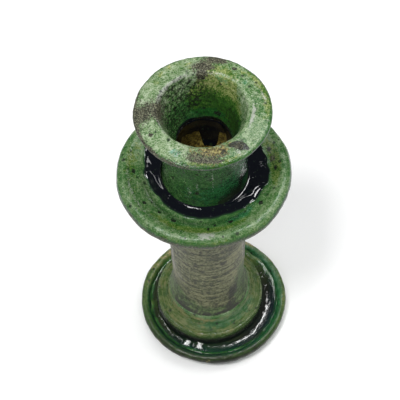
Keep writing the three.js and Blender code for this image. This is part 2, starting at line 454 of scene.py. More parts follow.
cup_outline = outline(
    [(0, SEAT), (NECK + 1.2, SEAT), (NECK + 0.8, SEAT + 2), (NECK + 0.1, SEAT + 7)]
    + [(NECK, SEAT + 30), (NECK + 0.7, SEAT + 40), (NECK + 2.6, SEAT + 47)]
    + [(NECK + 6.2, SEAT + 52), (NECK + 10, SEAT + 54.6)]
    + arc((RIM - 1.6, CREST - 2.9), RIM_EDGE, -75, 80)
    + [(RIM - 4, CREST - 0.8), (MOUTH + 4, CREST - 0.3), (MOUTH + 0.8, CREST + 0.1)]
    + [(MOUTH - 0.8, CREST - 0.7), (MOUTH - 2.4, CREST - 4.5), (MOUTH - 4.6, CREST - 11)]
    + [(MOUTH - 6.9, CREST - 18), (THROAT + 1.4, CREST - 24), (THROAT, CREST - THROAT_DEPTH)]
    + [(THROAT + 0.5, CREST - THROAT_DEPTH - 2), (HOLLOW, CREST - THROAT_DEPTH - 8)]
    + [(HOLLOW, SEAT + SOCKET_FLOOR + 6)]
    + [(HOLLOW - 2.5, SEAT + SOCKET_FLOOR + 0.8), (0, SEAT + SOCKET_FLOOR)],
    softness=0.7,
    spacing=0.72,
)
cup_grid = turn(cup_outline, 340)
top_side = cup_grid["along"] > cup_grid["along"][cup_outline[:, 0].argmax()]
deep = top_side & (cup_grid["height"] < CREST - THROAT_DEPTH)
funnel = top_side & (cup_grid["radius"] < MOUTH) & ~deep
push(cup_grid, waves(cup_grid, 11, 0.10, 24, 26) + waves(cup_grid, 12, 0.05, 6, 5))
push(cup_grid, rings(cup_grid, 13, 0.10, 2.6) * np.where(funnel, 1.0, 0.5))
points = place(cup_grid, shift=(0.5, 0), pivot=SEAT)

down_funnel = ease((CREST - 1 - cup_grid["height"]) / 26)
on_right = 0.5 + 0.5 * np.sin(cup_grid["bearing"])
at_front = ease((np.cos(cup_grid["bearing"]) - 0.80) / 0.15) * ease((cup_grid["radius"] - 33.5) / 1.5)
cup_depth = np.where(top_side, 0.23 + 0.11 * on_right + 0.14 * at_front, 0.50 + 0.20 * on_right)
cup_depth = np.where(funnel, 0.27 + (0.22 + 0.22 * on_right) * ease(down_funnel / 0.7), cup_depth)
ragged_edge = 0.7 * np.sin(2 * cup_grid["bearing"] + 1) * np.cos(3 * cup_grid["bearing"])
throat_edge = CREST - THROAT_DEPTH + 2.4 + ragged_edge
cup_depth = cup_depth + 0.5 * ease((throat_edge - cup_grid["height"]) / 1.6) * funnel
# Painted shade: the coat is made thicker, so darker, on the rim's rounded outer edge, where it turns down
# away from the light.
cup_depth = cup_depth + 0.16 * between(cup_grid["radius"], RIM - 1.0, RIM + 2, 1.0)
cup_layers = paint(
    cup_grid,
    cup_depth,
    smoke=[
        (-92, 27, FLANGE, 5.5, 4.0, 3, 0.52),
        (-89, 23.5, CREST - 4, 7, 2, 5, 0.5),
        (-86, 33, FLANGE, 6, 2.5, 3, 0.65),
        (179, 28, FLANGE, 5.5, 3.2, 3, 0.75),
        (177, 27.4, FLANGE, 1.2, 1.0, 3, 0.9),
        (180, 23.4, CREST - 2, 2.5, 1.2, 3, 0.6),
        (165, 34, FLANGE, 4.5, 1.8, 3, 0.95),
        (146, 31.4, FLANGE, 1.1, 0.9, 3, 0.8),
        (-61, 31, FLANGE, 1.0, 0.8, 3, 0.8),
        (38, 30, FLANGE, 2.6, 2.2, 3, 0.55),
        (-6, 32.3, FLANGE, 2.2, 0.6, 3, 0.9),
        (3, 33.0, FLANGE, 2.0, 0.5, 3, 0.8),
        (12, 33.6, FLANGE, 2.2, 0.6, 3, 0.9),
        (-4, 29, FLANGE, 4.5, 3.0, 3, 0.42),
        (14, 31, FLANGE, 5, 1.6, 3, 0.45),
        (-14, 31, FLANGE, 5, 2.0, 3, 0.32),
        # Painted shade: the blots at radius RIM darken the rim's outer edge, where it turns away from the
        # light.
        (-50, RIM, CREST - 3, 22, 1.5, 1.8, 0.75),
        (120, RIM, CREST - 3, 16, 1.2, 1.8, 0.6),
        (-95, 20, CREST - 8, 7, 3, 6, 0.25),
        # Painted shade on the rim's outer edge, on the left.
        (-110, RIM, CREST - 3, 20, 1.2, 1.8, 0.6),
    ],
    dark=[
        (-92, 27, FLANGE, 2.0, 1.6, 3, 0.6),
        (-87, 34, FLANGE, 4.5, 1.2, 3, 0.55),
        (177, 27.4, FLANGE, 1.3, 1.1, 3, 1.0),
        (180, 23.2, CREST - 2, 1.6, 0.9, 3, 0.9),
        (165, 34.4, FLANGE, 2.6, 0.9, 3, 0.8),
        (146, 31.4, FLANGE, 1.0, 0.8, 3, 1.0),
        (-61, 31, FLANGE, 0.9, 0.7, 3, 1.0),
        (-7, 32.3, FLANGE, 1.6, 0.5, 3, 1.5),
        (3, 33.0, FLANGE, 2.2, 0.5, 3, 1.5),
        (13, 33.7, FLANGE, 1.8, 0.5, 3, 1.5),
        (35, 28, FLANGE, 1.6, 0.8, 3, 1.4),
        (37, 30.5, FLANGE, 1.2, 1.6, 3, 1.2),
        (41, 32, FLANGE, 0.9, 1.8, 3, 1.4),
        (20, 29, FLANGE, 1.4, 0.9, 3, 0.8),
        (30, 27, FLANGE, 1.2, 0.8, 3, 0.7),
        (-3, 29, FLANGE, 2.2, 1.4, 3, 0.5),
        (38, NECK, SEAT + 5, 5, 3, 2.4, 0.75),
        (56, NECK, SEAT + 12, 3, 3, 6, 0.6),
        (22, NECK, SEAT + 4, 3, 3, 1.2, 0.6),
        (-12, NECK, SEAT + 14, 0.9, 3, 1.2, 1.0),
        (-49, NECK, SEAT + 19, 0.9, 3, 1.0, 1.0),
        (-45, 22, CREST - 22, 6, 4, 5, 0.6),
        (150, 16, CREST - 23, 3, 2, 1.6, 0.5),
    ],
    clay=[(8, 28, FLANGE, 9, 3.0, 3, 0.75), (5, 34.5, CREST - 2, 9, 1.4, 2, 0.40)],
    olive=[
        (105, 34.3, FLANGE, 14, 2.2, 3, 0.8),
        (8, 34.5, CREST - 1.5, 12, 1.6, 2, 0.9),
        (152, 18, CREST - 14, 11, 5, 11, 1.4),
        (175, 20, CREST - 12, 5, 4, 6, 0.35),
        (100, 18, CREST - 18, 5, 4, 5, 0.5),
        (-150, 32, FLANGE, 16, 4, 3, 0.4),
        (155, 27, FLANGE, 9, 4, 3, 0.45),
    ],
    teal=[
        (154, 23, CREST - 2, 5, 1.8, 3, 0.5),
        (120, 28, FLANGE, 10, 3, 3, 0.35),
        (168, 16.5, CREST - 24, 12, 2.5, 3, 0.7),
        (-27, 31, FLANGE, 4, 2, 3, 0.5),
        (10, NECK, SEAT + 12, 20, 3, 9, 0.5),
        (60, NECK, SEAT + 18, 12, 3, 12, 0.5),
    ],
    web=[
        (-150, 20, CREST - 11, 11, 7, 9, 1.0),
        (-100, 20, CREST - 13, 9, 6, 10, 0.9),
        (38, 30, FLANGE, 3, 2.6, 3, 0.8),
        (38, NECK, SEAT + 6, 6, 3, 4, 0.9),
    ],
    frost=[
        (32.5, 32.5, FLANGE, 1.4, 1.4, 3, 0.6),
        (-27, 31, FLANGE, 4, 1.6, 3, 0.35),
        # Painted highlights: the blot at 104, the three streaks on the neck and the line along the mouth's
        # crest stand for glints and sheen; the two blots above are pale frost.
        (104, 33, FLANGE, 7, 0.9, 3, 0.5),
        (9.5, NECK, SEAT + 27, 0.45, 3, 9, 0.42),
        (-12, NECK, SEAT + 19, 1.2, 3, 5, 0.30),
        (-22, NECK, SEAT + 14, 1.0, 3, 5, 0.26),
        (-120, 24.2, CREST, 22, 0.7, 2, 0.8),
        (155, 25, CREST, 8, 0.6, 2, 0.2),
        (80, 26.6, CREST, 7, 0.8, 2, 0.8),
    ],
)
bare_wall = ease((CREST - THROAT_DEPTH - 2.5 - cup_grid["height"]) / 2)
cup_layers["clay"] = np.where(deep, bare_wall, cup_layers["clay"])
cup_layers["thick"] = np.where(deep, 1.0, cup_layers["thick"])
candle_cup = make_piece("candle_cup_glazed", cup_grid, points, cup_layers, "candle_cup")
print("share of the cup's points on bare clay:", round(float(deep.mean()), 2))

# %% [markdown]
# ## The drip pan
# The pan is a shallow dish with a thick rolled lip. The glaze drained off the lip, so it is
# pale there, and gathered on the slope inside, where it is a clear emerald.

# %% Turn the drip pan
pan = sizes["drip_pan"]
PAN_BOTTOM, PAN_TOP, PAN_RADIUS = pan["bottom"], pan["top"], pan["radius"]
LIP = 4.6
LIP_CENTRE = (PAN_RADIUS - LIP, PAN_TOP - LIP)
TROUGH = PAN_TOP - 6.8
pan_outline = outline(
    [(0, PAN_BOTTOM), (23.8, PAN_BOTTOM), (30, PAN_BOTTOM + 0.7), (38, PAN_BOTTOM + 3)]
    + arc(LIP_CENTRE, LIP, -65, 135, 15)
    + [(38.5, PAN_TOP - 2.4), (35.5, PAN_TOP - 3.4), (33, TROUGH + 1.4), (31, TROUGH)]
    + [(25.5, TROUGH), (23, TROUGH + 0.6), (0, TROUGH + 0.6)],
    softness=0.8,
    spacing=0.66,
)
pan_grid = turn(pan_outline, 380)
pan_inside = pan_grid["along"] > pan_grid["along"][pan_outline[:, 1].argmax()]
pan_waves = waves(pan_grid, 21, 0.16, 30, 30) + waves(pan_grid, 22, 0.06, 7, 6)
push(pan_grid, pan_waves + rings(pan_grid, 23, 0.05, 3))
points = place(pan_grid, shift=(-0.4, 0), pivot=PAN_BOTTOM)

from_lip = ease((43.5 - pan_grid["radius"]) / 7) * pan_inside
to_front_right = 0.5 + 0.5 * np.cos(pan_grid["bearing"] - math.radians(35))
# Painted shade: the outside of the lip, which turns down away from the light, gets a thicker, darker coat;
# further underneath the coat thins again.
painted_shade_outside = ease((PAN_TOP - 0.9 - pan_grid["height"]) / 3.0) * ~pan_inside
underneath = ease((PAN_TOP - 8 - pan_grid["height"]) / 3)
pan_depth = 0.43 - 0.06 * to_front_right + (0.20 * to_front_right - 0.08) * from_lip
pan_depth = pan_depth + 0.30 * painted_shade_outside - 0.15 * underneath
pan_layers = paint(
    pan_grid,
    pan_depth,
    dark=[
        (-29, 36, PAN_TOP - 4, 0.9, 0.8, 3, 1.2),
        (22, 36.5, PAN_TOP - 4, 1.0, 0.8, 3, 1.2),
        (53.5, 38, PAN_TOP - 3, 0.9, 0.8, 3, 1.1),
        (-59, 38.6, PAN_TOP - 3, 0.9, 0.8, 3, 1.1),
        (-44, 36, PAN_TOP - 4, 0.8, 0.7, 3, 1.0),
        (8, 35.5, PAN_TOP - 4, 0.7, 0.6, 3, 1.0),
        (2, 38.2, PAN_TOP - 3, 0.6, 1.0, 3, 0.9),
        (90, 40, PAN_TOP - 3, 1.2, 0.9, 3, 0.9),
        (108, 39, PAN_TOP - 3, 1.4, 1.0, 3, 0.9),
        (-92, 39, PAN_TOP - 3, 1.2, 0.9, 3, 0.8),
    ],
    smoke=[
        (99, 39.5, PAN_TOP - 3, 3, 1.4, 3, 0.55),
        # Painted shade: the three blots at radius 48.8 darken the lip's outer face, which turns down away
        # from the light.
        (-50, 48.8, PAN_TOP - 6, 30, 1.8, 2.5, 0.6),
        (20, 48.8, PAN_TOP - 6.5, 28, 1.8, 2.5, 0.5),
        (100, 48.8, PAN_TOP - 6, 24, 1.8, 2.5, 0.4),
    ],
    olive=[
        (-5, 39.5, PAN_TOP - 2, 20, 1.8, 3, 1.0),
        (98, 40, PAN_TOP - 1, 14, 2.5, 3, 0.9),
        (-100, 40, PAN_TOP, 16, 4, 3, 0.6),
        (-20, 48.8, PAN_TOP - 5, 30, 2, 3, 0.5),
        (30, 48.8, PAN_TOP - 5.5, 30, 2, 3, 0.6),
    ],
    teal=[(35, 35, PAN_TOP - 4, 10, 2.4, 3, 0.7), (-60, 36, PAN_TOP - 4, 8, 3, 3, 0.4)],
    frost=[
        (0, 44, PAN_TOP, 4, 2.0, 3, 0.75),
        # Painted highlights: a line along the lip's crest and one on the slope, on the left.
        (-75, 42, PAN_TOP, 20, 0.8, 3, 0.45),
        (-60, 34, PAN_TOP - 5, 9, 0.7, 3, 0.5),
    ],
)
drip_pan = make_piece("drip_pan_glazed", pan_grid, points, pan_layers, "drip_pan")

# %% [markdown]
# ## The column
# The column is a straight thrown tube, a little narrower above the bell. It is a ring outline:
# hollow from end to end, because a closed hollow would burst in the kiln. Its throwing rings
# are stronger low down, where the wall was still thick when the fingers passed.

# %% Turn the column
stem = sizes["stem_column"]
STEM_BOTTOM, STEM_TOP = stem["bottom"], stem["top"]
WAIST = 21.8
BORE = 15.0
stem_outline = outline(
    [(BORE, STEM_BOTTOM), (24.9, STEM_BOTTOM), (24.3, STEM_BOTTOM + 2.5), (22.8, STEM_BOTTOM + 6)]
    + [(WAIST, STEM_BOTTOM + 12), (WAIST, STEM_BOTTOM + 22), (WAIST + 0.6, STEM_BOTTOM + 36)]
    + [(WAIST + 1.2, STEM_TOP - 30), (WAIST + 1.4, STEM_TOP), (BORE, STEM_TOP)],
    softness=0.5,
    spacing=1.0,
    ring=True,
)
stem_grid = turn(stem_outline, 300, ring=True)
push(stem_grid, waves(stem_grid, 31, 0.12, 40, 40) + waves(stem_grid, 32, 0.05, 8, 6))
low_stem = ease((STEM_BOTTOM + 30 - stem_grid["height"]) / 20)
push(stem_grid, rings(stem_grid, 33, 0.07, 3.2) * (0.5 + low_stem))
points = place(stem_grid)
stem_depth = 0.06 + 0.30 * ease((STEM_BOTTOM + 16 - stem_grid["height"]) / 14)
stem_layers = paint(
    stem_grid,
    stem_depth + 0.35 * ease((STEM_BOTTOM + 5 - stem_grid["height"]) / 5),
    smoke=[
        (43, 22, 47.7, 2.4, 3, 3.0, 1.3),
        (38, 22, 40, 3, 3, 5, 0.45),
        (30, 22, 33, 5, 3, 3, 0.5),
        (-10.6, 22, 103.5, 1.0, 3, 0.9, 0.9),
        (24, 22, 88, 2.2, 3, 1.6, 0.8),
        (50, 22, 78, 4, 3, 3, 0.45),
        (2, 22, 77, 6, 3, 1.0, 0.5),
        (-45, 23, 34, 6, 3, 5, 0.45),
        # A thin dark band round the front of the column's foot, where it meets the bell.
        (0, 24, STEM_BOTTOM + 1.5, 25, 3, 1.2, 0.6),
    ],
    clay=[(40, 22, 76, 3, 3, 4, 0.35), (34, 23, 34, 4, 3, 3, 0.35)],
    teal=[
        (66, 22, 46, 6, 4, 16, 0.9),
        (-62, 22, 38, 7, 4, 9, 0.5),
        (-28, 22, 33, 8, 4, 4, 0.5),
        (0, 24, STEM_BOTTOM, 40, 4, 3, 0.6),
    ],
    web=[(-25, 22, 33, 3.5, 3, 2.6, 0.9), (0, 22, 45, 16, 3, 12, 0.45)],
    frost=[
        # Painted highlights: long pale streaks down the column's two edges.
        (-69, 22, 95, 1.6, 3, 30, 0.8),
        (70, 22, 100, 1.6, 3, 30, 0.7),
        (-52, 22, 60, 5, 3, 12, 0.4),
    ],
)
stem_column = make_piece("stem_column_washed", stem_grid, points, stem_layers, "stem_column")

# %% [markdown]
# ## The bell
# The bell carries the column and spreads its foot over the saucer, with a ridge that the finger
# left at its edge. It stands off the saucer's middle, as a hand-set piece does. The glaze slid
# down its wall, so the coat thickens from the ridge to the foot.

# %% Turn the bell
bell = sizes["bell_base"]
BELL_BOTTOM, BELL_TOP, BELL_RADIUS = bell["bottom"], bell["top"], bell["radius"]
bell_outline = outline(
    [(BELL_RADIUS - 8, BELL_BOTTOM), (BELL_RADIUS, BELL_BOTTOM), (BELL_RADIUS - 0.7, BELL_BOTTOM + 8)]
    + [(33.4, 18.8), (33.1, 20.0), (32.2, 20.4), (31.4, 19.5), (30.7, 20.0), (28.6, 20.9), (26.7, 22.6)]
    + [(25.7, 25.2), (25.2, BELL_TOP), (BORE, BELL_TOP), (BORE + 2.6, BELL_BOTTOM + 9)],
    softness=0.4,
    spacing=0.6,
    ring=True,
)
bell_grid = turn(bell_outline, 320, ring=True)
bell_waves = waves(bell_grid, 41, 0.10, 40, 30) + waves(bell_grid, 42, 0.05, 9, 6)
push(bell_grid, bell_waves + rings(bell_grid, 43, 0.08, 2.4))
points = place(bell_grid, shift=(0.3, 0))
bell_depth = 0.50 + 0.08 * ease((19 - bell_grid["height"]) / 2)
bell_depth = bell_depth + 0.32 * ease((17.5 - bell_grid["height"]) / 5)
bell_layers = paint(
    bell_grid,
    bell_depth - 0.10 * ease((bell_grid["height"] - 22.5) / 3),
    olive=[
        (90, 31, 21, 40, 4, 5, 0.95),
        (-80, 30, 21, 40, 4, 5, 0.95),
        (0, 32, 18, 40, 3, 5, 1.0),
        (180, 31, 20, 50, 5, 6, 0.8),
        (-20, 29, 21, 12, 2, 3, 0.5),
    ],
    teal=[
        (8, 27.5, 23, 14, 2.5, 4, 0.6),
        (60, 27, 23, 10, 2.5, 4, 0.5),
        (-70, 26, 25, 8, 2.5, 4, 0.4),
    ],
    # Painted highlight: a pale line along the bell's ridge.
    frost=[(0, 32.6, 20.2, 60, 0.5, 0.8, 0.35)],
)
bell_base = make_piece("bell_base_glazed", bell_grid, points, bell_layers, "bell_base")

# %% [markdown]
# ## The saucer foot
# The saucer is thrown open and trimmed upside down when it is leather-hard, so its underside is
# a flat ring round a vent. The lip turns up and inwards, and holds the glaze that runs down.

# %% Turn the saucer foot
saucer = sizes["foot_saucer"]
SAUCER_RADIUS, SAUCER_TOP, SAUCER_X = saucer["radius"], saucer["top"], saucer["middle"]
SAUCER_LIP = 2.9
VENT = 11.0
FLOOR = sizes["bell_slip_joint"]["bottom"]
saucer_outline = outline(
    [(VENT, 0), (36, 0), (40, 0.4), (43.6, 2.4)]
    + arc((SAUCER_RADIUS - SAUCER_LIP, SAUCER_TOP - SAUCER_LIP), SAUCER_LIP, -35, 150, 11)
    + [(40.2, 7.6), (38.8, 5.2), (37.5, FLOOR), (VENT, FLOOR)],
    softness=0.4,
    spacing=0.6,
    ring=True,
)
saucer_grid = turn(saucer_outline, 380, ring=True)
above = ease(saucer_grid["height"] / 3)
push(saucer_grid, (waves(saucer_grid, 51, 0.16, 30, 30) + waves(saucer_grid, 52, 0.07, 8, 6)) * above)
points = place(saucer_grid, shift=(SAUCER_X, 0))
to_front = 0.5 + 0.5 * np.cos(saucer_grid["bearing"])
on_left = 0.5 - 0.5 * np.sin(saucer_grid["bearing"])
inner_slope = ease((42.6 - saucer_grid["radius"]) / 2.4)
saucer_depth = 0.32 + 0.06 * on_left + 0.40 * to_front + (0.30 * on_left - 0.04) * inner_slope
saucer_layers = paint(
    saucer_grid,
    saucer_depth + 0.10 * ease((saucer_grid["radius"] - 45.6) / 1.0),
    olive=[
        (0, 46, 7, 60, 3, 5, 0.6),
        (85, 46, 8, 40, 2, 5, 0.8),
        (-80, 46, 9, 45, 2.4, 4, 0.9),
        (-140, 44, 10, 35, 3, 4, 0.7),
        (140, 47, 9, 35, 2, 5, 0.6),
    ],
    teal=[
        (70, 41.6, 9, 24, 1.8, 3, 1.0),
        (15, 41.6, 9, 20, 1.8, 3, 0.9),
        (-35, 41.6, 9, 20, 1.8, 3, 0.8),
        (125, 42.5, 9, 22, 2.4, 4, 0.9),
        (-95, 41.5, 9, 14, 1.5, 3, 0.5),
    ],
    smoke=[
        (-35, 46.5, 6, 14, 1.2, 2, 0.5),
        (-10, 46.5, 5, 14, 1.2, 2, 0.45),
        (-100, 46.8, 7, 20, 1.2, 2, 0.4),
    ],
    clay=[
        (-48, 46.3, 7, 4, 1.5, 2, 0.5),
        (-8, 45.8, 8, 3, 1.5, 2, 0.4),
        (28, 46.3, 7, 3, 1.5, 2, 0.35),
    ],
)
foot_saucer = make_piece(
    "foot_saucer_glazed", saucer_grid, points, saucer_layers, "foot_saucer"
)

# %% [markdown]
# ## Pools
# Where the glaze ran together it set as black glass. A pool is a thin body with its own
# surface: level in the middle, climbing the wall behind it as water climbs a glass, and
# feathered out over the slope in front. Its edge wanders, because the glaze was still
# creeping when the kiln cooled.

# %% Shape of a pool
def pool_grid(inner, outer, count, rows=34, under_rows=8):
    """A ring grid between two wandering edges: rows run outwards along the underside and back
    in over the top. It has radius and bearing, and share, 0 at the wall and 1 at the edge."""
    bearing = np.arange(count) * (2 * math.pi / count)
    share = np.concatenate([np.linspace(0, 1, under_rows), ease(np.linspace(1, 0, rows))])
    over = np.concatenate([np.zeros(under_rows, bool), np.ones(rows, bool)])
    share, over = share[:, None], over[:, None]
    inner, outer = inner(bearing)[None, :], outer(bearing)[None, :]
    radius = inner + (outer - inner) * share
    shape = radius.shape
    return {
        "bearing": np.broadcast_to(bearing[None, :], shape).copy(),
        "radius": radius,
        "share": np.broadcast_to(share, shape),
        "over": np.broadcast_to(over, shape),
        "edge": np.broadcast_to(outer, shape),
        "along": radius,
        "ring": True,
    }


def wander(bearing, seed, size, slowest, fastest, count=12):
    """A seeded sum of whole waves round the pot, for an edge that wanders by about size."""
    random = np.random.default_rng(seed)
    rates = random.integers(slowest, fastest + 1, count)
    phases = random.uniform(0, 2 * math.pi, count)
    return size * math.sqrt(2 / count) * sum(np.sin(r * bearing + p) for r, p in zip(rates, phases))


def blend_up(a, b, width):
    """The larger of a and b, with the corner where they meet filled over width."""
    return width * np.logaddexp(a / width, b / width)


UNDER_SKIN = 0.12  # how far a pool's underside sinks into the glaze that it lies on
EDGE_SHARE = 0.985  # beyond this share the pool's top dips under the glaze, so no edge stands up
sample = pool_grid(lambda b: 0 * b + 24, lambda b: 30 + wander(b, 1, 0.5, 4, 20), 90)
edge_low, edge_high = sample["edge"].min(), sample["edge"].max()
print(f"a sample pool's edge wanders from {edge_low:.2f} to {edge_high:.2f} mm")

# %% [markdown]
# ## The pan's pool
# The glaze that ran off the cup stands round its neck, narrow at the front and widest at the
# back and sides. Its top is the higher of the level melt and a thin film over the pan, so it
# feathers out without a step.

# %% Pour the pan's pool
pool_level = sizes["pan_glaze_pool"]["top"] + 0.25
pan_rows = pan_outline[pan_outline[:, 1].argmax() :]
pan_radii, pan_heights = pan_rows[::-1, 0], pan_rows[::-1, 1]


def pan_pool_edge(bearing):
    """Narrow at the front, wide at the back and sides, with a ragged edge."""
    away = np.degrees(np.abs((bearing + math.radians(20) + math.pi) % (2 * math.pi) - math.pi))
    ragged_side = 0.14 + 0.36 * ease((away - 40) / 60)
    return 29.7 + 7.2 * ease((away - 34) / 73) + wander(bearing, 61, 1.0, 5, 30) * ragged_side


pool = pool_grid(lambda b: np.full_like(b, NECK + 0.9), pan_pool_edge, 380)
on_pan = np.interp(pool["radius"], pan_radii, pan_heights)
to_edge = pool["edge"] - pool["radius"]
climb = 1.2 * np.exp(-(pool["radius"] - NECK - 0.9) / 0.9)
film = 0.42 * ease(to_edge / 1.1) - 0.1
ripple = waves(pool, 62, 0.012, 20, 9) * ease(to_edge / 2)
surface = blend_up(pool_level + climb + ripple, on_pan + film, 0.12)
thickest = on_pan + film + 3.2 * ease(to_edge / 5) + climb
surface = np.where(pool["share"] > EDGE_SHARE, on_pan - UNDER_SKIN, np.minimum(surface, thickest))
pool["height"] = np.where(pool["over"], surface, on_pan - UNDER_SKIN)
points = place(pool, shift=(-0.2, 0))
pool_layers = paint(
    pool,
    0.62 + 0.40 * ease(to_edge / 1.8),
    bubbles=[
        (-51, 26.3, pool_level, 1.4, 1.4, 3, 1.0),
        (8, 28.3, pool_level, 1.8, 1.2, 3, 1.0),
        (-85, 33, pool_level, 2.4, 1.6, 3, 0.9),
        (96, 33.5, pool_level, 2.0, 2.2, 3, 0.9),
        (-30, 24.6, pool_level, 3, 0.8, 3, 0.7),
    ],
)
pan_pool = make_piece("pan_pool_glass", pool, points, pool_layers, "pan_glaze_pool")

# %% [markdown]
# ## The saucer's pool
# The saucer's channel caught the rest. The melt is stiffer here: it froze in two low lumps at
# the front left, climbs the bell's wall, and ripples where it was still moving.

# %% Pour the saucer's pool
channel_level = sizes["saucer_glaze_pool"]["top"]
saucer_rows = saucer_outline[saucer_outline[:, 1].argmax() :]
saucer_radii, saucer_heights = saucer_rows[::-1, 0], saucer_rows[::-1, 1]
WALL = BELL_RADIUS - 0.35


def bell_wall(bearing):
    """The distance from the saucer's middle to the bell's wall, which stands off centre."""
    across = SAUCER_X * np.sin(bearing)
    return -across + np.sqrt(across**2 - SAUCER_X**2 + WALL**2)


def beside(middle, spread):
    """A bell curve of the bearing about middle, both in degrees."""
    return np.exp(-0.5 * ((channel_turn - middle) / spread) ** 2)


channel = pool_grid(bell_wall, lambda b: 40.9 + wander(b, 71, 0.22, 4, 30), 380)
on_saucer = np.interp(channel["radius"], saucer_radii, saucer_heights)
to_edge = channel["edge"] - channel["radius"]
from_wall = channel["radius"] - bell_wall(channel["bearing"][0])[None, :]
channel_turn = np.degrees((channel["bearing"] + math.pi) % (2 * math.pi) - math.pi)
lumps = between(channel_turn, -31, -25.5, 2.5) + between(channel_turn, -18.5, -12, 3)
on_right_side = between(channel_turn, 15, 90, 12)
right_back = beside(112, 16)
climb = 2.2 * np.exp(-from_wall / (1.3 + 0.7 * on_right_side)) * (1 - lumps) * (1 - beside(-88, 42))
climb = climb + 0.47 * lumps * np.logaddexp(0, 5.5 - from_wall)
film = 0.35 * ease(to_edge / 0.9) - 0.1
ripple = waves(channel, 72, 0.045, 9, 4) * ease(to_edge / 2)
left = beside(-90, 38)
climb = climb + 1.5 * np.exp(-to_edge / (1.5 + 2.4 * right_back)) * (1 - 0.85 * left)
surface = blend_up(channel_level + climb + ripple, on_saucer + film, 0.15)
surface = np.where(channel["share"] > EDGE_SHARE, on_saucer - UNDER_SKIN, surface)
channel["height"] = np.where(channel["over"], surface, on_saucer - UNDER_SKIN)
points = place(channel, shift=(SAUCER_X, 0))
channel_depth = 0.66 + 0.28 * ease(to_edge / 2.6) - 0.06 * np.exp(-from_wall / 1.4)
channel_depth = channel_depth - 0.16 * left - 0.46 * beside(143, 22) - 0.12 * beside(0, 25)
channel_layers = paint(
    channel,
    channel_depth,
    olive=[
        (0, 34, 8, 18, 2.0, 5, 0.9),
        (-90, 36, 8, 30, 3, 5, 0.8),
        (85, 33, 9, 14, 1.5, 4, 0.7),
        (140, 35, 8, 20, 3, 5, 1.0),
    ],
    teal=[
        (-25, 37, 8, 12, 2.5, 4, 0.8),
        (12, 37, 8, 10, 2.5, 4, 0.8),
        (75, 39, 8, 14, 1.5, 4, 0.8),
    ],
    smoke=[(-115, 37, 8.5, 9, 2.5, 3, 0.25)],
    bubbles=[
        (-28, 36.5, channel_level, 2.2, 1.8, 3, 1.0),
        (-15, 35.5, channel_level, 2.8, 2.0, 4, 1.0),
        (75, 37.5, channel_level, 7, 1.6, 3, 0.55),
        (45, 36.5, channel_level, 8, 1.6, 3, 0.55),
        (20, 39.5, channel_level, 4, 1.0, 3, 0.5),
    ],
)
saucer_pool = make_piece(
    "saucer_pool_glass", channel, points, channel_layers, "saucer_glaze_pool"
)

# %% [markdown]
# ## The socket's lining
# Glaze ran over the throat and down the socket's wall, black and thick. At the back it stops at
# an uneven height and leaves bare ochre clay on both sides of one run that reached the floor.
# Towards the front the coat is carried to the floor all the way: painted shade, where the
# socket's wall lies in the throat's shadow.

# %% Line the socket
cup_rows = cup_outline[(cup_outline[:, 0] > 14) & (cup_outline[:, 1] < CREST - THROAT_DEPTH + 0.2)]
cup_rows = cup_rows[cup_rows[:, 0] < HOLLOW + 0.3]
cup_rows = cup_rows[np.argsort(cup_rows[:, 1])]
LINING_TOP = CREST - THROAT_DEPTH - 0.6
COAT_FOOT = 168.5  # height above the table at which most of the coat stops


def lining_foot(bearing):
    """How low the black coat reaches: high at the sides, to the floor in one run, and to the floor towards
    the front, where it is painted shade.
    """
    behind = np.degrees((bearing + 2 * math.pi) % (2 * math.pi)) - 180
    side = np.where(behind < -12, 0.20 * (-12 - behind), 0.08 * (behind + 12))
    foot = COAT_FOOT + np.minimum(side, 11) + wander(bearing, 81, 0.5, 4, 22)
    run = np.exp(-0.5 * ((behind + 12) / 16.5) ** 8)
    # Painted shade: towards the front the black coat reaches the floor.
    painted_shade_front = ease((np.abs(behind) - 50) / 8)
    return foot - np.maximum(run, painted_shade_front) * (foot - (SEAT + 5.5))


# The share is 0 at the lining's foot and 1 at its top, so that it runs up the wall side first.
lining = pool_grid(lambda b: np.zeros_like(b), lambda b: np.ones_like(b), 240, rows=40, under_rows=40)
foot = lining_foot(lining["bearing"])
lining["height"] = foot + lining["share"] * (LINING_TOP - foot)
wall = np.interp(lining["height"], cup_rows[:, 1], cup_rows[:, 0])
coat = 0.40 * ease(lining["share"] / 0.06) * ease((1 - lining["share"]) / 0.1 + 0.3)
lining["radius"] = np.where(lining["over"], wall - coat - 0.02, wall + 0.15)
lining["along"] = lining["height"]
points = place(lining, shift=(0.5, 0))
lining_layers = paint(lining, 1.0)
socket_lining = make_piece(
    "socket_black_lining", lining, points, lining_layers, "cup_glaze_lining"
)

# %% [markdown]
# ## Slip
# Slip is clay let down with water. The potter scores both faces, brushes slip on, and presses
# the sections together. A little squeezes out and is smoothed down to a low, uneven bead.

# %% Smear the slip beads
def slip_bead(name, node, outer, seed, shift=(0, 0)):
    """A flat ring of slip whose outer edge bulges and sinks a little as it goes round."""
    size = sizes[node]
    low, high = size["bottom"], size["top"]
    profile = outline(
        [(outer - 6, low), (outer - 0.2, low), (outer, (low + high) / 2)]
        + [(outer - 0.2, high), (outer - 6, high)],
        softness=0.15,
        spacing=0.25,
        ring=True,
    )
    grid = turn(profile, 240, ring=True)
    outside = ease((grid["radius"] - outer + 2) / 1.5)
    push(grid, (waves(grid, seed, 0.10, 12, 20) + 0.05) * outside)
    layers = paint(grid, 0.34)
    return make_piece(name, grid, place(grid, shift=shift), layers, node)


column_slip = slip_bead("column_slip_bead", "column_slip_joint", 24.9, 91)
pan_slip = slip_bead("pan_slip_bead", "pan_slip_joint", 23.6, 92)
cup_slip = slip_bead("cup_slip_bead", "cup_slip_joint", 23.8, 93)
bell_slip = slip_bead("bell_slip_bead", "bell_slip_joint", BELL_RADIUS - 0.1, 94)

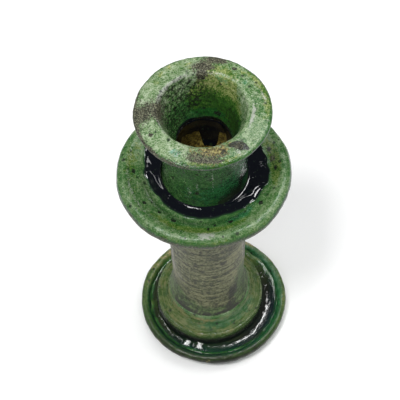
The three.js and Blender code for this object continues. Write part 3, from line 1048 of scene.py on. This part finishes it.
# %% [markdown]
# ## Building materials from named effects
# Several finishes share the same effects: the colour of a copper glaze by its thickness, iron
# specks, smoke, a black web. Each effect is built once as a node group with named inputs, and
# every finish places it with its own values. The helpers below keep each node to one line.

# %% Node helpers
def put(tree, kind, inputs=None, **settings):
    """Adds a node. Each named input is linked if its value is a socket, and set otherwise."""
    made = tree.nodes.new(kind)
    for key, value in settings.items():
        setattr(made, key, value)
    for key, value in (inputs or {}).items():
        if isinstance(value, bpy.types.NodeSocket):
            tree.links.new(value, made.inputs[key])
        else:
            made.inputs[key].default_value = value
    return made


def sums(tree, operation, *values, clamp=False):
    """The output of a Math node with those values."""
    inputs = dict(enumerate(values))
    return put(tree, "ShaderNodeMath", inputs, operation=operation, use_clamp=clamp).outputs[0]


def times(tree, first, second, clamp=False):
    """The product of two values."""
    return sums(tree, "MULTIPLY", first, second, clamp=clamp)


def plus(tree, first, second):
    """The sum of two values."""
    return sums(tree, "ADD", first, second)


def mix(tree, share, first, second, blend="MIX"):
    """A colour between first and second."""
    node = put(tree, "ShaderNodeMix", data_type="RGBA", blend_type=blend)
    for index, value in ((0, share), (6, first), (7, second)):
        if isinstance(value, bpy.types.NodeSocket):
            tree.links.new(value, node.inputs[index])
        else:
            node.inputs[index].default_value = value
    return node.outputs[2]


def noise(tree, place, size, detail=3.0, roughness=0.55, distortion=0.0):
    """Noise whose lumps are about size millimetres across, from a position in millimetres."""
    inputs = {"Vector": place, "Scale": 1 / size, "Detail": detail}
    inputs.update({"Roughness": roughness, "Distortion": distortion})
    return put(tree, "ShaderNodeTexNoise", inputs).outputs["Fac"]


def ramp(tree, value, low, high):
    """A smooth step of value from 0 at low to 1 at high."""
    return put(
        tree,
        "ShaderNodeMapRange",
        {"Value": value, "From Min": low, "From Max": high},
        interpolation_type="SMOOTHSTEP",
    ).outputs["Result"]


KINDS = {float: "NodeSocketFloat", tuple: "NodeSocketColor", str: "NodeSocketVector"}


def effect(name, inputs, outputs):
    """An empty node group: inputs are names and default values ("vector" for a position),
    outputs are names and kinds. Returns the tree, its input sockets and its output node."""
    tree = bpy.data.node_groups.new(name, "ShaderNodeTree")
    for label, value in inputs.items():
        socket = tree.interface.new_socket(name=label, in_out="INPUT", socket_type=KINDS[type(value)])
        if not isinstance(value, str):
            socket.default_value = value
    for label, kind in outputs.items():
        tree.interface.new_socket(name=label, in_out="OUTPUT", socket_type=KINDS[kind])
    entry = tree.nodes.new("NodeGroupInput")
    print(f"effect {name}: reads {', '.join(inputs)}; gives {', '.join(outputs)}")
    return tree, entry.outputs, tree.nodes.new("NodeGroupOutput")


def place_effect(tree, group, **inputs):
    """Places a group in a tree. Input names are written with _ for a space."""
    node = put(tree, "ShaderNodeGroup", node_tree=group)
    for key, value in inputs.items():
        socket = node.inputs[key.replace("_", " ")]
        if isinstance(value, bpy.types.NodeSocket):
            tree.links.new(value, socket)
        else:
            socket.default_value = value
    return node.outputs


def shrunk(tree, position, size):
    """The position divided by size, so that a texture's unit becomes that many millimetres."""
    share = sums(tree, "DIVIDE", 1.0, size)
    return put(tree, "ShaderNodeVectorMath", {0: position, "Scale": share}, operation="SCALE").outputs[0]


def bent(tree, position, rate, detail, reach):
    """The position moved by noise, up to about half of reach, so that cells lose their order."""
    drift = put(tree, "ShaderNodeTexNoise", {"Vector": position, "Scale": rate, "Detail": detail})
    return put(
        tree,
        "ShaderNodeVectorMath",
        {0: drift.outputs["Color"], 1: (reach, reach, reach), 2: position},
        operation="MULTIPLY_ADD",
    ).outputs[0]


print("an effect takes", ", ".join(kind.__name__ for kind in KINDS), "inputs")

# %% [markdown]
# ### The colour of a copper glaze
# Copper in a lead glaze is pale where the coat is thin, grass green where it is thicker, then
# emerald, and black where it is so thick that no light comes back out.

# %% Effect: glaze colour by thickness
def colour_stops(tree, value, stops):
    """The colour that value picks from stops, a list of positions and colours."""
    node = put(tree, "ShaderNodeValToRGB", {"Fac": value})
    elements = node.color_ramp.elements
    elements[0].position, elements[0].color = stops[0][0], (*stops[0][1], 1)
    elements[1].position, elements[1].color = stops[-1][0], (*stops[-1][1], 1)
    for position, colour in stops[1:-1]:
        elements.new(position).color = (*colour, 1)
    return node.outputs["Color"]


glaze_colour, entry, leave = effect("copper glaze colour", {"Thickness": 0.5}, {"Color": tuple})
picked = colour_stops(
    glaze_colour,
    entry["Thickness"],
    [
        (0.00, (0.40, 0.45, 0.33)),
        (0.12, (0.285, 0.368, 0.228)),
        (0.25, (0.18, 0.262, 0.126)),
        (0.38, (0.090, 0.172, 0.060)),
        (0.50, (0.042, 0.130, 0.032)),
        (0.62, (0.021, 0.085, 0.020)),
        (0.74, (0.016, 0.045, 0.017)),
        (0.86, (0.007, 0.015, 0.011)),
        (1.00, (0.003, 0.004, 0.007)),
    ],
)
glaze_colour.links.new(picked, leave.inputs["Color"])

# %% [markdown]
# ### A ragged patch
# A painted blot has a soft edge, and a real stain a torn one. Coarse and fine noise are added to
# the blot before it is cut off, so the edge breaks into flecks whose size is the grain.

# %% Effect: ragged patch
ragged, entry, leave = effect(
    "ragged patch", {"Layer": 0.0, "Position": "vector", "Grain": 2.0, "Raggedness": 0.8}, {"Mask": float}
)
coarse = noise(ragged, entry["Position"], 3.5, 4.0, 0.7)
grainy = noise(ragged, shrunk(ragged, entry["Position"], entry["Grain"]), 1.0, 4.0, 0.7)
swing = times(ragged, sums(ragged, "SUBTRACT", grainy, 0.5), entry["Raggedness"])
swing = plus(ragged, swing, times(ragged, sums(ragged, "SUBTRACT", coarse, 0.5), 0.9))
level = plus(ragged, entry["Layer"], swing)
present = ramp(ragged, entry["Layer"], 0.02, 0.15)
ragged.links.new(times(ragged, ramp(ragged, level, 0.34, 0.54), present), leave.inputs["Mask"])

# %% [markdown]
# ### Iron specks
# Grains of iron in the clay burn through the glaze as dark dots. A cell texture, bent so that no
# row shows, gives each cell a dice throw: one number says whether it holds a speck, another
# how large the speck is.

# %% Effect: iron specks
specks, entry, leave = effect(
    "iron specks", {"Position": "vector", "Spacing": 5.0, "Share": 0.4, "Size": 0.16}, {"Mask": float}
)
spread = shrunk(specks, bent(specks, entry["Position"], 0.9, 2.0, 0.9), entry["Spacing"])
cells = put(specks, "ShaderNodeTexVoronoi", {"Vector": spread, "Scale": 1.0})
dice = put(specks, "ShaderNodeSeparateColor", {"Color": cells.outputs["Color"]}).outputs
chosen = sums(specks, "LESS_THAN", dice["Red"], entry["Share"])
reach = times(specks, entry["Size"], plus(specks, dice["Green"], 0.35))
near = sums(specks, "DIVIDE", cells.outputs["Distance"], reach)
dot = put(specks, "ShaderNodeMapRange", {"Value": near, "From Min": 1.15, "From Max": 0.6}).outputs["Result"]
specks.links.new(times(specks, dot, chosen, clamp=True), leave.inputs["Mask"])

# %% [markdown]
# ### A black web
# Thick glaze that shrinks draws apart, and soot fills the cracks. The borders of bent cells make
# the web, and noise breaks it up.

# %% Effect: black web
web, entry, leave = effect("black web", {"Position": "vector", "Cell": 2.4, "Width": 0.2}, {"Mask": float})
spread = shrunk(web, bent(web, entry["Position"], 0.5, 3.0, 2.6), entry["Cell"])
cells = put(web, "ShaderNodeTexVoronoi", {"Vector": spread, "Scale": 1.0}, feature="DISTANCE_TO_EDGE")
thin = sums(web, "DIVIDE", cells.outputs["Distance"], entry["Width"])
broken = ramp(web, noise(web, entry["Position"], 2.2, 4.0, 0.7), 0.36, 0.56)
line = put(web, "ShaderNodeMapRange", {"Value": thin, "From Min": 1.0, "From Max": 0.2}).outputs["Result"]
web.links.new(times(web, line, broken, clamp=True), leave.inputs["Mask"])

# %% [markdown]
# ### The glaze's skin
# Melted glaze is never flat: it sets in low, wide swells like orange peel, and the throwing
# lines of the clay still show through where the coat is thin.

# %% Effect: glaze skin
skin, entry, leave = effect(
    "glaze skin", {"Position": "vector", "Turning": "vector", "Peel": 0.05, "Lines": 0.05}, {"Height": float}
)
fine_swells = noise(skin, entry["Position"], 1.6, 3.0, 0.6)
wide_swells = times(skin, noise(skin, entry["Position"], 5.0, 2.0), 1.6)
peel = times(skin, plus(skin, fine_swells, wide_swells), entry["Peel"])
lines = times(skin, noise(skin, entry["Turning"], 0.16, 3.0, 0.6), entry["Lines"])
skin.links.new(plus(skin, peel, lines), leave.inputs["Height"])

# %% [markdown]
# ### Trapped bubbles
# Gas that could not leave the melt stands in it as small round domes. Each dome is the distance
# from the middle of a cell, turned into a smooth bump.

# %% Effect: trapped bubbles
bubbles, entry, leave = effect("trapped bubbles", {"Position": "vector", "Size": 1.0}, {"Height": float})
spread = shrunk(bubbles, entry["Position"], entry["Size"])
cells = put(bubbles, "ShaderNodeTexVoronoi", {"Vector": spread, "Scale": 1.0})
dome = ramp(bubbles, cells.outputs["Distance"], 0.55, 0.0)
bubbles.links.new(times(bubbles, dome, entry["Size"]), leave.inputs["Height"])

# %% [markdown]
# ### The green glaze
# One function mixes the effects into a finish. It takes the paint layers from the piece, adds
# noise at three sizes to the thickness, lets that pick the colour, and lays pale grains,
# frost with painted highlights, specks, web, smoke with painted shade, and bare clay over it.
# Thick glaze is smoother than thin and hides the mottle, and smoke, painted shade and clay are dull.

# %% Function: a glaze finish
def layer(tree, name, output="Fac"):
    """A paint layer of the piece."""
    return put(tree, "ShaderNodeAttribute", attribute_name=name).outputs[output]


def patch(tree, position, name, grain, raggedness):
    """The ragged mask of a paint layer."""
    return place_effect(
        tree, ragged, Layer=layer(tree, name), Position=position, Grain=grain, Raggedness=raggedness
    )["Mask"]


def around_half(tree, value, amount):
    """Noise, which swings about a half, turned into a swing of that amount about zero."""
    return times(tree, sums(tree, "SUBTRACT", value, 0.5), amount)


def glaze_finish(
    name, swing=(0.35, 0.65, 1.25), specks_of=(3.6, 0.25, 0.45), peel=0.05, lines=0.2,
    coat=0.3, base_rough=0.46, wet_rough=0.06, bloom=0.4, ior=1.42, olive_tint=(1.12, 0.95, 0.52),
):
    """A material of mottled copper glaze. The swings are how much slow, middle and fine noise
    change the thickness, and lines how much the throwing lines do. Specks are given by their
    spacing, size and share. Thin glaze is as rough as base_rough and thick glaze as wet_rough,
    under a clear coat of that weight; bloom is the milky grain on thin glaze."""
    made = bpy.data.materials.new(name)
    made.use_nodes = True
    tree = made.node_tree
    shader = tree.nodes["Principled BSDF"]
    where = put(tree, "ShaderNodeTexCoord").outputs["Object"]
    position = put(tree, "ShaderNodeVectorMath", {0: where, "Scale": 1000.0}, operation="SCALE").outputs[0]
    turning = layer(tree, "turning", "Vector")

    laid = layer(tree, "thick")
    mottle = around_half(tree, noise(tree, turning, 0.3, 3.0), lines)
    for size, amount, detail in zip((9.0, 2.6, 0.75), swing, (2.0, 4.0, 4.0)):
        mottle = plus(tree, mottle, around_half(tree, noise(tree, position, size, detail, 0.62), amount))
    calm = ramp(tree, laid, 1.0, 0.35)
    thick = sums(tree, "MULTIPLY_ADD", mottle, calm, laid)
    colour = place_effect(tree, glaze_colour, Thickness=thick)["Color"]

    tints = (("olive", (*olive_tint, 1), 0.9), ("teal", (0.50, 0.98, 1.30, 1), 0.85))
    for tint_layer, tint, strength in tints:
        mask = patch(tree, position, tint_layer, 2.2, 1.0)
        tinted = mix(tree, 1.0, colour, tint, "MULTIPLY")
        colour = mix(tree, times(tree, mask, strength), colour, tinted)
    milk = ramp(tree, noise(tree, position, 0.9, 5.0, 0.75, 0.5), 0.53, 0.66)
    milk = times(tree, milk, ramp(tree, noise(tree, position, 5.0, 3.0), 0.38, 0.62))
    milk = times(tree, times(tree, milk, ramp(tree, thick, 0.42, 0.12)), bloom)
    colour = mix(tree, milk, colour, (0.52, 0.57, 0.44, 1))
    # Painted highlight: the frost layer lays a pale grey where glints and edge sheen fall, and on a few pale
    # frost patches.
    frost = patch(tree, position, "frost", 0.8, 2.0)
    colour = mix(tree, times(tree, frost, 0.7), colour, (0.40, 0.41, 0.37, 1))

    webbed = place_effect(tree, web, Position=position, Cell=2.5, Width=0.22)["Mask"]
    webbed = times(tree, webbed, ramp(tree, layer(tree, "web"), 0.1, 0.7))
    colour = mix(tree, webbed, colour, (0.012, 0.016, 0.010, 1))
    spacing, size, share = specks_of
    dots = place_effect(tree, specks, Position=position, Spacing=spacing, Share=share, Size=size)["Mask"]
    fine_dots = place_effect(tree, specks, Position=position, Spacing=1.5, Share=0.35, Size=0.30)["Mask"]
    gathered = patch(tree, position, "dark", 1.0, 1.3)
    fine_dots = times(tree, fine_dots, 0.75)
    dots = sums(tree, "MAXIMUM", sums(tree, "MAXIMUM", dots, gathered), fine_dots)
    colour = mix(tree, times(tree, dots, 0.9), colour, (0.012, 0.024, 0.012, 1))

    bare = patch(tree, position, "clay", 1.1, 1.8)
    clay_stops = [(0.43, (0.04, 0.030, 0.012)), (0.50, (0.17, 0.14, 0.04)), (0.62, (0.33, 0.30, 0.12))]
    clay_colour = colour_stops(tree, noise(tree, position, 1.4, 4.0, 0.7), clay_stops)
    dim_clay = mix(tree, 1.0, clay_colour, (0.85, 0.76, 0.48, 1), "MULTIPLY")
    clay_colour = mix(tree, ramp(tree, laid, 0.8, 1.0), clay_colour, dim_clay)
    colour = mix(tree, bare, colour, clay_colour)
    colour = mix(tree, times(tree, gathered, 0.9), colour, (0.012, 0.016, 0.010, 1))
    # Painted shade and real stains: the smoke layer's mask gives soot colour both to smoke stains and to
    # edges darkened where they turn away from the light.
    soot_and_shade = patch(tree, position, "smoke", 0.9, 1.9)
    soot_and_shade_stops = [(0.44, (0.010, 0.010, 0.006)), (0.51, (0.062, 0.060, 0.036)), (0.62, (0.20, 0.21, 0.13))]
    soot_and_shade_colour = colour_stops(tree, noise(tree, position, 0.8, 4.0, 0.7), soot_and_shade_stops)
    colour = mix(tree, soot_and_shade, colour, soot_and_shade_colour)
    tree.links.new(colour, shader.inputs["Base Color"])

    dull = sums(tree, "MAXIMUM", soot_and_shade, bare)
    rough = sums(tree, "MULTIPLY_ADD", ramp(tree, thick, 0.1, 0.65), wet_rough - base_rough, base_rough)
    rough = plus(tree, rough, around_half(tree, noise(tree, position, 2.0, 4.0), 0.15))
    rough = sums(tree, "MULTIPLY_ADD", dull, 0.35, rough, clamp=True)
    tree.links.new(rough, shader.inputs["Roughness"])
    wet = times(tree, ramp(tree, thick, 0.35, 0.7), coat)
    wet = times(tree, wet, sums(tree, "SUBTRACT", 1.0, dull))
    tree.links.new(wet, shader.inputs["Coat Weight"])
    shader.inputs["Coat Roughness"].default_value = 0.06
    shader.inputs["IOR"].default_value = ior

    height = place_effect(tree, skin, Position=position, Turning=turning, Peel=peel, Lines=lines)["Height"]
    pits = times(tree, dots, -0.05)
    crust = times(tree, times(tree, dull, noise(tree, position, 0.8, 4.0, 0.7)), 0.25)
    domes = place_effect(tree, bubbles, Position=position, Size=1.1)["Height"]
    foam = times(tree, ramp(tree, layer(tree, "bubbles"), 0.2, 0.6), 0.16)
    domes = times(tree, domes, foam)
    for part in (pits, crust, domes):
        height = plus(tree, height, part)
    relief = put(tree, "ShaderNodeBump", {"Strength": 1.0, "Distance": MM, "Height": height})
    tree.links.new(relief.outputs["Normal"], shader.inputs["Normal"])
    return made


def finish_with(piece, material):
    """Gives a piece its one material."""
    piece.data.materials.clear()
    piece.data.materials.append(material)
    print(piece.name, "is finished with", material.name)


print("effects ready:", ", ".join(group.name for group in bpy.data.node_groups))


# %% [markdown]
# ### Which piece gets which glaze
# The cup and the slip beads share the mottled glaze. The pan's is calmer and duller. The bell and
# the saucer lean to olive, from iron in the slip. The two pools are smooth black glass, one
# still and one rippled, and the socket's lining is the same glaze dulled by smoke.

# %% Glaze the pieces
green = glaze_finish("mottled green glaze", swing=(0.40, 0.75, 1.20), peel=0.08, bloom=0.3)
finish_with(candle_cup, green)
pan_glaze = glaze_finish(
    "pan glaze", swing=(0.35, 0.60, 1.00), specks_of=(4.2, 0.24, 0.5), peel=0.06, lines=0.1,
    coat=0.12, wet_rough=0.14, bloom=0.25, ior=1.38,
)
finish_with(drip_pan, pan_glaze)
BROWN_OLIVE = (1.40, 0.76, 0.55)
DULL_OLIVE = (1.75, 0.92, 0.95)
bell_glaze = glaze_finish(
    "bell glaze", swing=(0.50, 0.28, 0.20), peel=0.05, lines=0.6,
    coat=0.1, wet_rough=0.22, bloom=0.1, ior=1.38, olive_tint=DULL_OLIVE,
)
finish_with(bell_base, bell_glaze)
saucer_glaze = glaze_finish(
    "saucer glaze", swing=(0.50, 0.80, 0.60), peel=0.05, lines=0.1,
    coat=0.0, wet_rough=0.30, bloom=0.2, ior=1.35, olive_tint=DULL_OLIVE,
)
finish_with(foot_saucer, saucer_glaze)
finish_with(
    pan_pool,
    glaze_finish(
        "still black glass", swing=(0.6, 0.4, 0.1), specks_of=(7.0, 0.1, 0.1), peel=0.04, lines=0.0,
        coat=0.0, base_rough=0.06, bloom=0.0, ior=1.42, olive_tint=BROWN_OLIVE,
    ),
)
finish_with(
    saucer_pool,
    glaze_finish(
        "rippled dark glass", swing=(0.8, 0.6, 0.2), specks_of=(7.0, 0.1, 0.1), peel=0.22, lines=0.0,
        coat=0.5, base_rough=0.07, bloom=0.0, ior=1.5, olive_tint=BROWN_OLIVE,
    ),
)
finish_with(
    socket_lining,
    glaze_finish("smoked black glaze", peel=0.1, lines=0.0, coat=0.0, base_rough=0.6, bloom=0.0, ior=1.2),
)
for piece in (column_slip, pan_slip, cup_slip, bell_slip):
    finish_with(piece, green)

# %% [markdown]
# ### The column's dry wash
# The column was only washed with thin glaze. It came out of the kiln grey and dry, with the
# marks of the throwing fingers, a few dark spots, and some green that ran down from the pan.
# Pale streaks down its two edges are painted highlights.

# %% The washed clay
def wash_finish(name):
    """A dull grey-green wash: streaks that run round the pot, grains of dark iron and blots; the pale blots
    of the frost layer are painted highlights.
    """
    made = bpy.data.materials.new(name)
    made.use_nodes = True
    tree = made.node_tree
    shader = tree.nodes["Principled BSDF"]
    where = put(tree, "ShaderNodeTexCoord").outputs["Object"]
    position = put(tree, "ShaderNodeVectorMath", {0: where, "Scale": 1000.0}, operation="SCALE").outputs[0]
    turning = layer(tree, "turning", "Vector")
    streaks = noise(tree, turning, 0.45, 4.0, 0.7, 0.3)
    clouds = noise(tree, turning, 1.1, 4.0, 0.65, 0.4)
    grain = noise(tree, position, 1.5, 4.0, 0.75)
    tone = sums(tree, "MULTIPLY_ADD", streaks, 0.26, times(tree, clouds, 0.34))
    tone = sums(tree, "MULTIPLY_ADD", grain, 0.40, tone)
    wash_stops = [
        (0.45, (0.022, 0.026, 0.012)),
        (0.475, (0.068, 0.078, 0.033)),
        (0.50, (0.112, 0.122, 0.055)),
        (0.54, (0.205, 0.206, 0.108)),
    ]
    colour = colour_stops(tree, tone, wash_stops)
    green_share = sums(tree, "MULTIPLY_ADD", layer(tree, "thick"), 1.2, layer(tree, "teal"))
    run = place_effect(tree, ragged, Layer=green_share, Position=position, Grain=3.0, Raggedness=1.0)["Mask"]
    green_tint = mix(tree, 1.0, colour, (0.44, 0.78, 0.44, 1), "MULTIPLY")
    colour = mix(tree, times(tree, run, 0.8), colour, green_tint)
    # Painted highlight: pale streaks where the column's edges catch the light.
    frost = patch(tree, position, "frost", 2.0, 0.8)
    colour = mix(tree, times(tree, frost, 0.55), colour, (0.30, 0.28, 0.26, 1))

    drag = ramp(tree, noise(tree, turning, 0.36, 4.0, 0.65, 0.8), 0.54, 0.60)
    drag = times(tree, drag, ramp(tree, noise(tree, position, 7.0, 3.0), 0.42, 0.55))
    colour = mix(tree, times(tree, drag, 0.9), colour, (0.026, 0.028, 0.017, 1))
    webbed = place_effect(tree, web, Position=position, Cell=2.6, Width=0.14)["Mask"]
    webbed = times(tree, webbed, ramp(tree, layer(tree, "web"), 0.1, 0.8))
    colour = mix(tree, times(tree, webbed, 0.8), colour, (0.035, 0.045, 0.028, 1))
    dots = place_effect(tree, specks, Position=position, Spacing=4.2, Share=0.4, Size=0.30)["Mask"]
    fine = place_effect(tree, specks, Position=position, Spacing=1.5, Share=0.4, Size=0.30)["Mask"]
    dots = sums(tree, "MAXIMUM", times(tree, dots, 0.9), times(tree, fine, 0.6))
    colour = mix(tree, dots, colour, (0.030, 0.031, 0.020, 1))
    rust = patch(tree, position, "clay", 1.2, 1.6)
    colour = mix(tree, times(tree, rust, 0.5), colour, (0.13, 0.085, 0.07, 1))
    soot_and_shade = patch(tree, position, "smoke", 1.2, 1.4)
    colour = mix(tree, times(tree, soot_and_shade, 0.92), colour, (0.022, 0.022, 0.016, 1))
    tree.links.new(colour, shader.inputs["Base Color"])
    tree.links.new(sums(tree, "MULTIPLY_ADD", clouds, 0.3, 0.38), shader.inputs["Roughness"])
    height = place_effect(tree, skin, Position=position, Turning=turning, Peel=0.10, Lines=0.30)["Height"]
    for part, amount in ((dots, -0.08), (drag, -0.10), (webbed, -0.10)):
        height = plus(tree, height, times(tree, part, amount))
    relief = put(tree, "ShaderNodeBump", {"Strength": 1.0, "Distance": MM, "Height": height})
    tree.links.new(relief.outputs["Normal"], shader.inputs["Normal"])
    return made


finish_with(stem_column, wash_finish("dry grey wash"))
